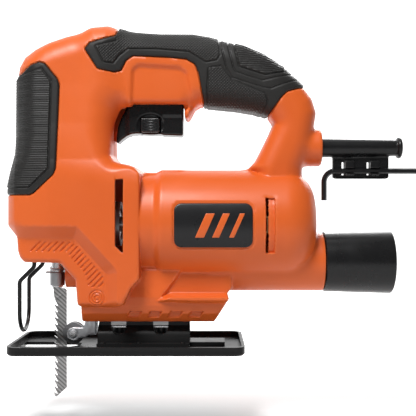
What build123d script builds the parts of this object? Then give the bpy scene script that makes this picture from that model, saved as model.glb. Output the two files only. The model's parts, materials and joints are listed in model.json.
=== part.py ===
from build123d import *
import math
import os

# Corded jigsaw.  X runs to the rear, Y to the operator's right, Z up, in millimetres.
# The origin is the centre of the shoe's sole, which lies in Z = 0.  The blade is at the front, -X.

# ---- driving dimensions -------------------------------------------------------------------
WALL = 2.6  # casing wall
SKIN = 1.2  # rubber over the casing
SLIP = 0.02  # radial room of a pressed or glued fit
RUN = 0.05  # radial room of a running fit
GAP = 0.3  # room between moving pieces

MOTOR_Z = 78.4  # motor axis above the sole
BARREL_R = 34.0
BARREL = (6.0, 116.0)
MOTOR_LOW = MOTOR_Z - 24  # the motor ends here, above the dust duct
HEAD_HALF = 28.5  # widest half-width of the head
HANDLE_HALF = 18.0
FOOT_BOTTOM = 18.0
CORD_Z = 126.5  # cord entry axis
DUCT_Z = 54.5  # hose connection axis
DUCT_R = 19.2
MOUTH_Z = 46.0  # axis of the dust mouth behind the blade

SHOE_LENGTH = 143.5
SHOE_WIDTH = 65.0
SHOE_PLATE = 2.0
SHOE_RIM = 5.4
SHOE_WINDOW = (-67.4, -31.0)
WINDOW_HALF = 8.6
CHANNEL = (38.0, 60.0)  # stiffening bead behind the bracket
CHANNEL_TOP = 4.6
BEVEL_Z = 5.0  # bevel hinge axis, along X, low so that a tilted blade stays in the window
BRACKET = (-19.0, 38.0)
BRACKET_R = 12.6  # outside of the arched bracket
BRACKET_INNER = 10.8
BEVEL_SCREWS = (-6.3, 20.0)
PAD = (-18.0, 37.0)  # metal seat in the foot, over the bracket

PLUNGER_X = -46.1
PLUNGER_R = 3.75
STROKE_DOWN = 14.0  # from rest to bottom dead centre
STROKE_UP = 4.0
CRANK = (STROKE_DOWN + STROKE_UP) / 2
MODULE = 0.8
PINION_TEETH = 9
GEAR_TEETH = 54
GEAR_Z = MOTOR_Z + MODULE * (PINION_TEETH + GEAR_TEETH) / 2
GEAR = (-29.0, -21.0)
YOKE_Z = GEAR_Z + CRANK - STROKE_UP  # slot height at rest
BLADE_BACK = -40.2
BLADE_WIDTH = 7.8
BLADE_THICK = 1.3
TOOTH_PITCH = 4.0

ROLLER_X = -35.4
ROLLER_Z = 9.3
ROLLER_R = 6.75

TRIGGER = (-2.0, 33.8)
TRIGGER_Z = (134.3, 158.0)
TRIGGER_HALF = 9.0
BUTTON_X = 13.5
BUTTON_Z = 140.0

KEY_FLATS = 3.0  # stored hexagon key
KEY_LONG = 63.0
KEY_SHORT = 20.0
KEY_BEND = 7.0
KEY_X = 121.2  # outer face of the short arm
KEY_Y = -3.4
KEY_Z = 111.7

# Casing screws: X, Z and the casing's half-width there.
SCREWS = [
    (-62.0, 178.0, 18.0), (-20.0, 188.0, 18.0), (50.0, 187.0, 18.0), (99.0, 165.0, 18.0),
    (99.0, 103.0, 22.0), (-62.5, 68.0, 22.0), (49.0, 27.0, 20.0), (3.0, 104.0, 27.0),
]


# ---- small helpers ------------------------------------------------------------------------
def block(xs, ys, zs):
    """Box between three pairs of limits."""
    size = [high - low for low, high in (xs, ys, zs)]
    middle = [(high + low) / 2 for low, high in (xs, ys, zs)]
    return Pos(*middle) * Box(*size)


def rod(axis, radius, span, at, bore=0.0, top=None):
    """Round bar, ring or cone along an axis; 'at' holds its other two coordinates in order."""
    length = span[1] - span[0]
    middle = (span[0] + span[1]) / 2
    body = Cylinder(radius, length) if top is None else Cone(radius, top, length)
    if bore:
        body -= Cylinder(bore, length + 2)
    if axis == "x":
        return Pos(middle, at[0], at[1]) * Rot(0, 90, 0) * body
    if axis == "y":
        return Pos(at[0], middle, at[1]) * Rot(-90, 0, 0) * body
    return Pos(at[0], at[1], middle) * body


def outline(points, radius=0.0):
    """Closed outline with equally rounded corners."""
    if radius:
        return make_face(FilletPolyline(*points, radius=radius, close=True))
    return make_face(Polyline(*points, close=True))


def grown(face, amount):
    """The outline moved outwards, or inwards where the amount is negative."""
    if amount == 0:
        return face
    return offset(face, amount=amount, kind=Kind.INTERSECTION)


def side_prism(face, ys):
    """Outline in X and Z, stretched between two Y values."""
    return extrude(Plane.XZ.offset(-ys[1]) * face, ys[1] - ys[0], dir=(0, -1, 0))


def plan_prism(face, zs):
    """Outline in X and Y, stretched between two Z values."""
    return extrude(Pos(0, 0, zs[0]) * face, zs[1] - zs[0], dir=(0, 0, 1))


def cross_prism(face, xs):
    """Outline in Y and Z, stretched between two X values."""
    return extrude(Plane.YZ.offset(xs[0]) * face, xs[1] - xs[0], dir=(1, 0, 0))


def mirrored(points):
    """Half outline with positive first values, closed by its mirror image."""
    return points + [(-first, second) for first, second in reversed(points)]


def coil_spring(radius, wire, length, turns):
    """Helical compression spring standing on Z = 0."""
    path = Helix(pitch=(length - 2 * wire) / turns, height=length - 2 * wire, radius=radius)
    section = Plane(origin=path @ 0, z_dir=path % 0) * Circle(wire)
    return Pos(0, 0, wire) * sweep(section, path=path, is_frenet=True)


def screw(shank, length, head, thickness):
    """Screw along -Z with the underside of its cross-recessed pan head at the origin."""
    body = Pos(0, 0, -length / 2) * Cylinder(shank, length)
    body += Pos(0, 0, thickness / 2) * Cylinder(head, thickness)
    recess = Box(head * 1.1, head * 0.28, thickness) + Box(head * 0.28, head * 1.1, thickness)
    return body - Pos(0, 0, thickness) * recess


def gear_outline(teeth, tip, root, fill):
    """Spur gear outline; 'fill' is the share of the pitch that a tooth takes at its foot."""
    points = []
    step = 2 * math.pi / teeth
    for index in range(teeth):
        for share, radius in ((-fill, root), (-fill * 0.5, tip), (fill * 0.5, tip), (fill, root)):
            angle = step * (index + share / 2)
            points.append((radius * math.cos(angle), radius * math.sin(angle)))
    return outline(points)


# ---- casing -------------------------------------------------------------------------------
def handle_form(inset):
    """D-handle and upper head, inset from the outside."""
    outer = outline([
        (-70.5, 90), (-70.5, 170), (-66, 184), (-55, 190.5), (-40, 196.5), (-13, 201.7), (4, 198),
        (44, 197.5), (62, 193), (86, 184), (103, 172.5), (116, 160), (117, 146), (114, 126),
        (109, 112), (109, 102), (104, 86), (-40, 86),
    ])
    opening = outline([
        (-9.5, 151.5), (-9.5, 121), (-3, 114.5), (12, 111.5), (68, 112.3), (78, 118),
        (86.5, 133), (90, 142), (86, 147.5), (74, 150.5), (40, 151.5),
    ])
    half = HANDLE_HALF - inset
    ring = side_prism(grown(outer, -inset), (-half, half))
    return ring - side_prism(grown(opening, inset), (-half - 5, half + 5))


def head_form(inset):
    """Gear head and nose: where a side, a plan and a front outline meet."""
    side = outline([
        (-63.5, 55.3), (-67.6, 58.5), (-68.6, 70), (-74.5, 80), (-74.5, 100), (-70.5, 118),
        (-70.5, 142), (-9.6, 142), (-9.6, 119), (8, 114), (12, 100), (12, 40), (-30, 40), (-41, 55.3),
    ])
    plan = outline([
        (-75, -13), (-68, -22.5), (-45, -HEAD_HALF), (12, -HEAD_HALF + 1.5),
        (12, HEAD_HALF - 1.5), (-45, HEAD_HALF), (-68, 22.5), (-75, 13),
    ])
    front = outline(mirrored([(HEAD_HALF, 38), (HEAD_HALF, 108), (23.5, 122), (19.5, 144)]))
    body = side_prism(grown(side, -inset), (-40, 40))
    body &= plan_prism(grown(plan, -inset), (30, 150))
    return body & cross_prism(grown(front, -inset), (-80, 20))


def barrel_form(inset):
    """Motor barrel with its rounded rear end."""
    body = rod("x", BARREL_R - inset, (BARREL[0] + inset, BARREL[1] - inset), (0, MOTOR_Z))
    rim = body.edges().filter_by(GeomType.CIRCLE).sort_by(Axis.X)[-1]
    return fillet(rim, 20 - inset)


def foot_form(inset):
    """Foot under the barrel, narrow at the bottom so that the shoe can tilt."""
    side = outline([(-30, FOOT_BOTTOM), (53.5, FOOT_BOTTOM), (63, 33), (63, 62), (-30, 62)])
    front = outline(mirrored([
        (15.5, FOOT_BOTTOM), (19.6, 24), (20.9, 29), (24.8, 32.5), (24.4, 36), (20.5, 40),
        (19.5, 50), (19.5, 64),
    ]))
    body = side_prism(grown(side, -inset), (-40, 40))
    return body & cross_prism(grown(front, -inset), (-60, 90))


def casing_form(inset):
    """The whole casing as one solid, inset from the outside."""
    body = handle_form(inset) + head_form(inset) + barrel_form(inset) + foot_form(inset)
    body += rod("x", 11.7 - inset, (96, 121 - inset), (0, CORD_Z))
    body += rod("x", DUCT_R - inset, (56, 122 - inset), (0, DUCT_Z))
    return body


def casing_bosses(outer):
    """Screw bosses, motor ribs and the rear bearing wall inside the casing."""
    inside = [rod("y", 4.0, (-half, half), (x, z)) for x, z, half in SCREWS]
    for x in (31.0, 60.0):
        rib = rod("x", BARREL_R - 1, (x, x + 3), (0, MOTOR_Z), bore=27.1)
        inside.append(rib & block((x, x + 3), (-40, 40), (MOTOR_LOW, 120)))
    rear_wall = rod("x", BARREL_R - 1, (94, 101), (0, MOTOR_Z), bore=9.5 + SLIP)
    inside.append(rear_wall & block((90, 105), (-40, 40), (72, 120)))
    return [piece & outer for piece in inside]


def casing_cuts():
    """Everything that opens the casing."""
    cuts = []
    for x, z, half in SCREWS:
        cuts.append(rod("y", 1.6, (-half + 6, half + 1), (x, z)))
        cuts.append(rod("y", 3.4, (half - 4, half + 12), (x, z)))
    vent = outline([(-6.0, 65.6), (-1.3, 61.5), (-1.3, 105.6), (-6.0, 105.6)])
    slot = outline([(84.4, 61.5), (86.4, 61.5), (86.4, 94.5), (84.4, 94.5)])
    for face in (vent, slot):
        cuts.append(side_prism(face, (-40, -24)))
        cuts.append(side_prism(face, (24, 40)))
    cuts.append(block((PAD[0] - 0.1, PAD[1] + 0.1), (-8.1, 8.1), (16, 22)))
    cuts.append(block((-27.6, -20.9), (-5.6, 5.6), (16, 27)))
    cuts.append(rod("z", 6.0, (48, 62), (PLUNGER_X, 0)))
    cuts.append(rod("x", 8.1, (-45, -24), (0, MOUTH_Z)))
    cuts.append(rod("x", DUCT_R - WALL, (103, 124), (0, DUCT_Z)))
    cuts.append(rod("x", 6.3, (110, 124), (0, CORD_Z)))
    cuts.append(block((-10, TRIGGER[1] + 0.6), (-9.5, 9.5), (134, 158)))
    for y in (-12.9, 12.9):
        cuts.append(rod("z", 1.4, (50, 60), (-58, y)))
    return cuts


def casing():
    """Both casing halves, joined on the plane Y = 0."""
    outer = casing_form(0)
    body = outer - casing_form(WALL)
    for piece in casing_bosses(outer):
        body += piece
    for cut in casing_cuts():
        body -= cut
    body += block((34.6, 38.4), (-3, 3), (144, 152.5))
    far = 60
    left = body & block((-90, 130), (-far, 0), (0, 220))
    right = body & block((-90, 130), (0, far), (0, 220))
    return left, right


def grip_pads():
    """Rubber pads on the nose and round the handle, a left and a right one each."""
    skin = casing_form(-SKIN) - casing_form(0)
    nose = outline([(-80, 96.5), (-56, 96.8), (-41.5, 111), (-40.6, 166), (-52.4, 178), (-80, 178)])
    handle = outline([
        (-7, 206), (-26.6, 185), (-17, 172.8), (-5, 171), (0, 180), (8, 182), (33.6, 179),
        (41, 175), (47, 152), (47, 145), (87.4, 145), (97.3, 158.5), (108, 163), (112, 206),
    ])
    pads = {}
    for name, face in (("nose_grip", nose), ("handle_grip", handle)):
        pads[name + "_left"] = skin & side_prism(face, (-40, 0))
        pads[name + "_right"] = skin & side_prism(face, (0, 40))
    for key, pad in pads.items():
        pads[key] = Compound(children=[solid for solid in pad.solids() if solid.volume > 5])
    return pads


def badge(side):
    """Plain plaque on the barrel; side is -1 for left and 1 for right."""
    face = outline([(29, 64), (77, 64), (77, 91), (29, 91)], radius=4)
    ring = rod("x", BARREL_R + 0.8, (20, 90), (0, MOTOR_Z), bore=BARREL_R)
    return ring & side_prism(face, sorted((side * 20, side * 40)))


def casing_screws():
    """Long cross-recessed screws from the right side."""
    group = []
    for x, z, half in SCREWS:
        body = screw(1.55, 2 * half - 11, 3.0, 2.2)
        group.append(Pos(x, half - 4, z) * Rot(-90, 0, 0) * body)
    return Compound(children=group)


# ---- foot: bevel parts, shoe, guide roller ---------------------------------------------------
def bevel_pad():
    """Metal seat over the bracket, held in the foot by its flange."""
    body = block(PAD, (-8, 8), (13, 24)) + block(PAD, (-12, 12), (20.8, 24))
    body -= rod("x", BRACKET_R + GAP, (PAD[0] - 1, PAD[1] + 1), (0, BEVEL_Z))
    for x in BEVEL_SCREWS:
        body -= rod("z", 2.5 + SLIP, (10, 23), (x, 0))
    return body


def clamp_plate():
    """Curved steel plate that the bevel screws pull against the inside of the bracket."""
    body = rod("x", BRACKET_INNER - GAP, (BRACKET[0] + 4, BRACKET[1] - 4), (0, BEVEL_Z))
    body &= block(BRACKET, (-5.2, 5.2), (13.4, 20))
    for x in BEVEL_SCREWS:
        body -= rod("z", 2.5 + SLIP, (10, 20), (x, 0))
    return body


def bevel_screws():
    """Two socket-head screws, turned from below, that clamp the shoe at its angle."""
    group = []
    for x in BEVEL_SCREWS:
        body = rod("z", 2.5, (13.4, 22.5), (x, 0)) + rod("z", 4.2, (9.4, 13.4), (x, 0))
        socket = plan_prism(Pos(x, 0) * RegularPolygon(1.78, 6), (9, 12))
        group.append(body - socket)
    return Compound(children=group)


def shoe_bracket():
    """Arched bracket on the shoe, slotted round its arch for the bevel screws."""
    body = rod("x", BRACKET_R, BRACKET, (0, BEVEL_Z))
    body += block(BRACKET, (-BRACKET_R, BRACKET_R), (SHOE_PLATE, BEVEL_Z))
    body &= block(BRACKET, (-20, 20), (SHOE_PLATE, 20))
    body += block(BRACKET, (-17, 17), (SHOE_PLATE, BEVEL_Z))
    body -= rod("x", BRACKET_INNER, (BRACKET[0] - 1, BRACKET[1] + 1), (0, BEVEL_Z))
    body -= block((BRACKET[0] - 1, BRACKET[1] + 1), (-BRACKET_INNER, BRACKET_INNER), (0, BEVEL_Z))
    for x in BEVEL_SCREWS:
        body -= rod("y", 4.6, (-15, 15), (x, 14.2))
        body -= block((x - 4.6, x + 4.6), (-15, 15), (14.2, 20))
    for x, y in rivet_places():
        body -= rod("z", 1.2 + SLIP, (0, 7), (x, y))
    return body


def rivet_places():
    """X and Y of the rivets between shoe and bracket."""
    return [(x, y) for x in (-15.0, 6.8, 34.0) for y in (-14.8, 14.8)]


def bracket_rivets():
    """Six rivets between shoe and bracket, countersunk in the sole."""
    group = []
    for x, y in rivet_places():
        body = rod("z", 1.2, (0.2, BEVEL_Z), (x, y)) + rod("z", 1.9, (BEVEL_Z, 5.7), (x, y), top=1.2)
        group.append(body)
    return Compound(children=group)


def shoe():
    """Pressed shoe: plate, turned-up rim, blade window, opening under the bracket, bead."""
    plate = plan_prism(RectangleRounded(SHOE_LENGTH, SHOE_WIDTH, 7), (0, SHOE_RIM))
    hollow = RectangleRounded(SHOE_LENGTH - 4, SHOE_WIDTH - 4, 5)
    body = plate - plan_prism(hollow, (SHOE_PLATE, SHOE_RIM + 1))
    bottom_edges = body.faces().sort_by(Axis.Z)[0].outer_wire().edges()
    body = chamfer(bottom_edges, 1.0)
    body += block(CHANNEL, (-8, 8), (0, CHANNEL_TOP))
    body -= block((CHANNEL[0] - 1, CHANNEL[1] - 1.8), (-6.2, 6.2), (-1, CHANNEL_TOP - 1.8))
    front, rear = SHOE_WINDOW
    window = outline([
        (front, -WINDOW_HALF), (rear - 5, -WINDOW_HALF), (rear, -WINDOW_HALF + 5),
        (rear, WINDOW_HALF - 5), (rear - 5, WINDOW_HALF), (front, WINDOW_HALF),
    ])
    body -= plan_prism(window, (-1, 8))
    body -= plan_prism(Pos(8, 0) * RectangleRounded(50, 18, 3), (-1, 8))
    for x, y in rivet_places():
        body -= rod("z", 1.2 + SLIP, (0, 7), (x, y))
    return body


def roller_fork():
    """Fork that carries the blade guide roller, held in the front of the foot."""
    body = block((-27.5, -21), (-5.5, 5.5), (8.4, 26.5))
    for low in (-5.5, 3.5):
        span = (low, low + 2)
        body += rod("y", 4.2, span, (ROLLER_X, ROLLER_Z))
        arm = outline([(ROLLER_X, 5.2), (-33, 5.3), (-31.8, 6.8), (-27, 6.9), (-25.6, 8.4), (-25.6, 18),
                       (-27.6, 17.4), (-29, 13.3), (ROLLER_X, 13.4)])
        body += side_prism(arm, span)
    return body - rod("y", 1.5 + SLIP, (-8, 8), (ROLLER_X, ROLLER_Z))


def guide_roller():
    """Grooved roller behind the blade."""
    body = rod("y", ROLLER_R, (-3.2, 3.2), (ROLLER_X, ROLLER_Z))
    groove = rod("y", ROLLER_R + 1, (-0.95, 0.95), (ROLLER_X, ROLLER_Z), bore=4.4)
    return body - groove - rod("y", 1.5 + RUN, (-4, 4), (ROLLER_X, ROLLER_Z))


def roller_pin():
    """Axle of the guide roller, with a thin head each side."""
    body = rod("y", 1.5, (-6.2, 6.2), (ROLLER_X, ROLLER_Z))
    body += rod("y", 2.0, (-6.2, -5.5), (ROLLER_X, ROLLER_Z))
    return body + rod("y", 2.0, (5.5, 6.2), (ROLLER_X, ROLLER_Z))


# ---- blade drive -----------------------------------------------------------------------------
def gear_case():
    """Cast frame that holds front bearing, gear pin and both plunger bushes."""
    plate = outline(mirrored([(20, 60), (20, 114), (13, 138)]))
    body = cross_prism(plate, (-19.5, -13.5))
    for zs in ((60, 70), (129, 138)):
        body += block((-54, -13.5), (-10, 10), zs)
        body -= rod("z", 6.0 + SLIP, (zs[0] - 1, zs[1] + 1), (PLUNGER_X, 0))
    body += rod("x", 14.0, (-14, -5.5), (0, MOTOR_Z))
    body -= rod("x", 11.0 + SLIP, (-13, -5), (0, MOTOR_Z))
    body -= rod("x", 6.0, (-22, -12), (0, MOTOR_Z))
    return body - rod("x", 6.0 + SLIP, (-22, -12), (0, GEAR_Z))


def bush(zs):
    """Plain bush for the plunger."""
    return rod("z", 6.0, zs, (PLUNGER_X, 0), bore=PLUNGER_R + RUN)


def plunger():
    """Plunger rod with its crosswise yoke slot and the slot for the blade's shank."""
    body = rod("z", PLUNGER_R, (38.5, 152), (PLUNGER_X, 0))
    body += block((-43.5, -36), (-17.5, 17.5), (YOKE_Z - 8, YOKE_Z + 8))
    body -= block((-42, -35), (-13.3, 13.3), (YOKE_Z - 4.3, YOKE_Z + 4.3))
    return body - block((PLUNGER_X - 2.85, PLUNGER_X + 2.85), (-0.7, 0.7), (38, 49.2))


def blade():
    """T-shank saw blade with upward teeth on its front edge and a slanted tip."""
    front = BLADE_BACK - BLADE_WIDTH
    shank = PLUNGER_X - 2.75
    points = [(BLADE_BACK, 38.3), (BLADE_BACK, -25.5), (-46.6, -30.2), (front, -28.6)]
    z = -28.6
    while z < 27.0:
        points.append((front + 1.9, z + 0.6))
        points.append((front, z + TOOTH_PITCH))
        z += TOOTH_PITCH
    points += [(front + 0.4, z + 2), (front + 0.4, 38.3), (shank, 38.3), (shank, 49)]
    points += [(shank + 5.5, 49), (shank + 5.5, 38.3)]
    return side_prism(outline(points), (-BLADE_THICK / 2, BLADE_THICK / 2))


def clamp_collar():
    """Twist collar that locks the blade, with its release tang."""
    body = rod("z", 4.9, (39.3, 47.6), (PLUNGER_X, 0), bore=PLUNGER_R + RUN)
    for index in range(12):
        groove = Pos(PLUNGER_X, 0, 43) * Rot(0, 0, 30 * index) * Pos(5.1, 0, 0) * Cylinder(0.4, 12)
        body -= groove
    body += rod("x", 0.8, (-53.5, PLUNGER_X - 4.2), (0, 46.4))
    return body + rod("z", 0.8, (43.5, 46.9), (-53.3, 0))


def clamp_spring():
    """Torsion spring above the collar."""
    return Pos(PLUNGER_X, 0, 48.0) * coil_spring(4.45, 0.4, 3.2, 2.5)


def drive_gear():
    """Reduction gear, turning on its pin in the gear case."""
    face = gear_outline(GEAR_TEETH, MODULE * (GEAR_TEETH / 2 + 0.8), MODULE * (GEAR_TEETH / 2 - 1.1), 0.6)
    body = extrude(Plane.YZ.offset(GEAR[0]) * (Pos(0, GEAR_Z) * face), GEAR[1] - GEAR[0], dir=(1, 0, 0))
    body -= rod("x", 6.0 + RUN, (GEAR[0] - 1, GEAR[1] + 1), (0, GEAR_Z))
    for index in range(5):
        angle = math.radians(60 * index)
        hole = (14.5 * math.sin(angle), GEAR_Z + 14.5 * math.cos(angle))
        body -= rod("x", 2.8, (GEAR[0] - 1, GEAR[1] + 1), hole)
    return body - rod("x", 2.5, (GEAR[0] - 1, GEAR[1] + 1), crank_place())


def crank_place():
    """Y and Z of the crank pin at rest, where it stands level with the yoke slot."""
    rise = YOKE_Z - GEAR_Z
    return -math.sqrt(CRANK ** 2 - rise ** 2), YOKE_Z


def crank_pin():
    """Pin pressed into the gear."""
    return rod("x", 2.5 - SLIP, (-36 + GAP, GEAR[1]), crank_place())


def crank_roller():
    """Roller on the crank pin, which drives the yoke."""
    return rod("x", 4.0, (-36 + GAP, -31), crank_place(), bore=2.5 + RUN)


def gear_pin():
    """Fixed axle of the reduction gear."""
    return rod("x", 6.0, (GEAR[0] + 0.5, -13.5), (0, GEAR_Z))


# ---- motor -----------------------------------------------------------------------------------
def armature_shaft():
    """Motor shaft with the pinion cut on its front end."""
    body = rod("x", 5.0, (-20.2, -4), (0, MOTOR_Z)) + rod("x", 4.0, (-4, 92), (0, MOTOR_Z))
    body += rod("x", 3.5, (92, 101), (0, MOTOR_Z))
    pitch_r = MODULE * PINION_TEETH / 2
    face = gear_outline(PINION_TEETH, pitch_r + 0.7 * MODULE, pitch_r - 1.3 * MODULE, 0.62)
    turned = Rot(0, 0, 90) * face
    return body + extrude(Plane.YZ.offset(-30) * (Pos(0, MOTOR_Z) * turned), 10, dir=(1, 0, 0))


def armature_core():
    """Laminated core with winding slots."""
    body = rod("x", 16.9, (28, 66), (0, MOTOR_Z), bore=4.0 + SLIP)
    for index in range(12):
        angle = math.radians(30 * index)
        place = (16.2 * math.cos(angle), MOTOR_Z + 16.2 * math.sin(angle))
        body -= rod("x", 1.3, (27, 67), place)
    return body


def armature_windings():
    """End turns of the armature winding, one bundle at each end of the core."""
    front = rod("x", 10.5, (19, 28), (0, MOTOR_Z), bore=4.0 + SLIP, top=15.0)
    rear = rod("x", 15.0, (66, 75), (0, MOTOR_Z), bore=4.0 + SLIP, top=10.5)
    return Compound(children=[front, rear])


def commutator():
    """Commutator with its segments."""
    body = rod("x", 10.0, (76, 88), (0, MOTOR_Z), bore=4.0 + SLIP)
    for index in range(24):
        turned = Rot(15 * index, 0, 0) * Pos(0, 0, 10.0) * Box(9, 0.4, 1.2)
        body -= Pos(83, 0, MOTOR_Z) * turned
    return body


def fan():
    """Radial cooling fan."""
    body = rod("x", 24.0, (16.5, 18), (0, MOTOR_Z)) + rod("x", 8.0, (9, 18), (0, MOTOR_Z))
    for index in range(16):
        vane = Rot(22.5 * index, 0, 0) * Pos(0, 0, 16.4) * Box(7.5, 1.2, 14.8)
        body += Pos(13.5, 0, MOTOR_Z) * vane
    return body - rod("x", 4.0 + SLIP, (5, 20), (0, MOTOR_Z))


def fan_shroud():
    """Air guide between fan and field."""
    body = rod("x", 30.6, (19, 21), (0, MOTOR_Z), bore=17.5)
    return body & block((18, 22), (-40, 40), (MOTOR_LOW, 120))


def bearing(outer, inner, xs):
    """Ball bearing drawn as a shielded ring with a face groove on each side."""
    body = rod("x", outer, xs, (0, MOTOR_Z), bore=inner)
    middle = (outer + inner) / 2
    for span in ((xs[0] - 1, xs[0] + 0.4), (xs[1] - 0.4, xs[1] + 1)):
        body -= rod("x", middle + 1.6, span, (0, MOTOR_Z), bore=middle - 1.6)
    return body


def side_sectors(half_angle, reach, xs):
    """Two wedges about the motor axis, opening to the left and right."""
    rise = reach * math.tan(math.radians(half_angle))
    wedge = outline([(0, 0), (reach, -rise), (reach, rise)])
    both = wedge + outline([(0, 0), (-reach, rise), (-reach, -rise)])
    return extrude(Plane.YZ.offset(xs[0]) * (Pos(0, MOTOR_Z) * both), xs[1] - xs[0], dir=(1, 0, 0))


def stator_core():
    """Field core with two poles, flat on top and bottom."""
    body = rod("x", 27.0, (28, 66), (0, MOTOR_Z), bore=17.6)
    body &= block((20, 80), (-30, 30), (MOTOR_LOW, 2 * MOTOR_Z - MOTOR_LOW))
    slots = rod("x", 23.0, (27, 67), (0, MOTOR_Z), bore=17.0) & side_sectors(32, 40, (27, 67))
    return body - slots


def field_coils():
    """Upper and lower field coil with their end turns."""
    ends = rod("x", 22.6, (22.5, 27.9), (0, MOTOR_Z), bore=18.2)
    ends += rod("x", 22.6, (66.1, 72), (0, MOTOR_Z), bore=18.2)
    bars = rod("x", 22.6, (27, 67), (0, MOTOR_Z), bore=18.2) & side_sectors(30, 40, (27, 67))
    body = ends + bars
    upper = body & block((20, 80), (-30, 30), (MOTOR_Z + 0.4, 120))
    lower = body & block((20, 80), (-30, 30), (40, MOTOR_Z - 0.4))
    return Compound(children=list(upper.solids()) + list(lower.solids()))


def both_sides(piece):
    """A solid and its mirror image across Y = 0, as one group."""
    return Compound(children=list(piece.solids()) + list(mirror(piece, about=Plane.XZ).solids()))


def brush_holders():
    """Brass tubes for the carbon brushes."""
    body = block((78, 86), (-28, -12), (MOTOR_Z - 5, MOTOR_Z + 5))
    return both_sides(body - block((79, 85), (-29, -11), (MOTOR_Z - 4, MOTOR_Z + 4)))


def brushes():
    """Carbon brushes."""
    return both_sides(block((79.1, 84.9), (-20, -10.3), (MOTOR_Z - 3.9, MOTOR_Z + 3.9)))


def brush_springs():
    """Springs that press the brushes on."""
    return both_sides(Pos(82, -20.1, MOTOR_Z) * Rot(90, 0, 0) * coil_spring(2.6, 0.35, 7.5, 5))


# ---- switch, trigger, cord entry ----------------------------------------------------------------
def switch_body():
    """Switch above the trigger with a blind hole for the trigger spring."""
    body = block((0, 36), (-9, 9), (164, 184))
    body += block((6, 12), (-6, 6), (184, 188)) + block((24, 30), (-6, 6), (184, 188))
    return body - rod("z", 4.2, (160, 175), (15, 0))


def capacitor():
    """Interference capacitor in the handle."""
    return block((58, 78), (-6, 6), (160, 176))


def trigger():
    """Finger trigger with its forward tail and the pocket of the lock button."""
    side = outline([
        (-8.4, 129.8), (-6.8, 129.0), (-3.5, 132.3), (1, 134.3), (TRIGGER[1] - 1.4, 134.0),
        (TRIGGER[1], 135.6), (TRIGGER[1], 158), (-1.5, 158), (-1.5, 150.5), (-4.4, 146), (-7.4, 139),
    ])
    body = side_prism(side, (-TRIGGER_HALF, TRIGGER_HALF))
    body -= block((-12, -1.4), (-12, 12), (127, 160)) - block((-12, -1.4), (-6, 6), (127, 160))
    body -= block((BUTTON_X - 6.3, BUTTON_X + 6.3), (-12, -2), (BUTTON_Z - 4.8, BUTTON_Z + 4.8))
    return body - rod("y", 3.1, (-3, 6), (BUTTON_X, BUTTON_Z))


def trigger_spring():
    """Return spring between the trigger and the end of its hole in the switch."""
    return Pos(15, 0, TRIGGER_Z[1]) * coil_spring(3.4, 0.5, 16.95, 7)


def lock_button():
    """Lock-on button with rounded corners and finger ridges."""
    face = Pos(BUTTON_X, BUTTON_Z) * RectangleRounded(12, 9, 2)
    body = side_prism(face, (-11.0, -5.6))
    for index in range(4):
        body -= rod("z", 0.35, (130, 150), (BUTTON_X - 3.6 + 2.4 * index, -11.1))
    return body


def lock_spring():
    """Return spring behind the lock button."""
    return Pos(BUTTON_X, 2.4, BUTTON_Z) * Rot(90, 0, 0) * coil_spring(2.3, 0.35, 7.9, 5)


def cord_guard():
    """Rubber cord sleeve with the hanging plate that stores the hexagon key."""
    body = rod("x", 6.0, (121, 170), (0, CORD_Z), top=5.2)
    body += rod("x", 6.4, (168.6, 172), (0, CORD_Z))
    body += rod("x", 6.2, (111, 121), (0, CORD_Z))
    plate_face = outline([(128.5, 105.8), (163.9, 105.8), (163.9, 122.4), (128.5, 122.4)], radius=2)
    body += side_prism(plate_face, (-1.25, 1.25))
    for low, high in ((136.3, 142.0), (152.2, 158.0)):
        clip = block((low, high), (-5.9, -1.0), (109.0, 114.4))
        body += clip
    body -= block((130, 165), (KEY_Y - 1.85, KEY_Y + 1.85), (KEY_Z - 1.85, KEY_Z + 1.85))
    return body - rod("x", 3.6, (100, 180), (0, CORD_Z))


def cord_clamp():
    """Bar that clamps the cord inside the casing."""
    body = block((100, 108), (-9, 9), (CORD_Z + 1.5, CORD_Z + 5))
    for y in (-6.5, 6.5):
        body -= rod("z", 1.55, (CORD_Z, CORD_Z + 8), (104, y))
    return body


def cord_clamp_screws():
    """Two screws of the cord clamp."""
    group = [Pos(104, y, CORD_Z + 5) * screw(1.5, 9.5, 2.6, 1.8) for y in (-6.5, 6.5)]
    return Compound(children=group)


def hex_key():
    """Stored hexagon key, long arm along X, short arm down."""
    short_x = KEY_X + KEY_FLATS / 2
    top = (KEY_X + KEY_LONG, KEY_Y, KEY_Z)
    bottom = (short_x, KEY_Y, KEY_Z + KEY_FLATS / 2 - KEY_SHORT)
    path = FilletPolyline(bottom, (short_x, KEY_Y, KEY_Z), top, radius=KEY_BEND)
    section = RegularPolygon(KEY_FLATS / 2, 6, major_radius=False)
    return sweep(Plane(origin=bottom, z_dir=(0, 0, 1)) * section, path=path)


# ---- dust way and guard ---------------------------------------------------------------------------
def dust_form(inset, spare):
    """Duct from the mouth behind the blade, under the motor, to the hose connection."""
    small = 8.0 - inset
    large = DUCT_R - WALL - 0.1 - inset
    body = rod("x", small, (-40 - spare, 78), (0, MOUTH_Z))
    first = Plane.YZ.offset(78) * (Pos(0, MOUTH_Z) * Circle(small))
    last = Plane.YZ.offset(104) * (Pos(0, DUCT_Z) * Circle(large))
    body += loft([first, last])
    return body + rod("x", large, (104, 121.5 + spare), (0, DUCT_Z))


def dust_duct():
    """Duct from the mouth to the hose connection."""
    return dust_form(0, 0) - dust_form(1.2, 1)


def dust_adapter():
    """Hose adapter, pushed into the duct and pulled off to the rear."""
    body = rod("x", 19.3, (122.3, 158), (0, DUCT_Z), top=20.0)
    body += rod("x", 20.2, (158, 165), (0, DUCT_Z))
    body += rod("x", 15.0, (104, 123), (0, DUCT_Z))
    body -= rod("x", 13.6, (100, 130), (0, DUCT_Z))
    return body - rod("x", 17.5, (127, 170), (0, DUCT_Z))


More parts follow.
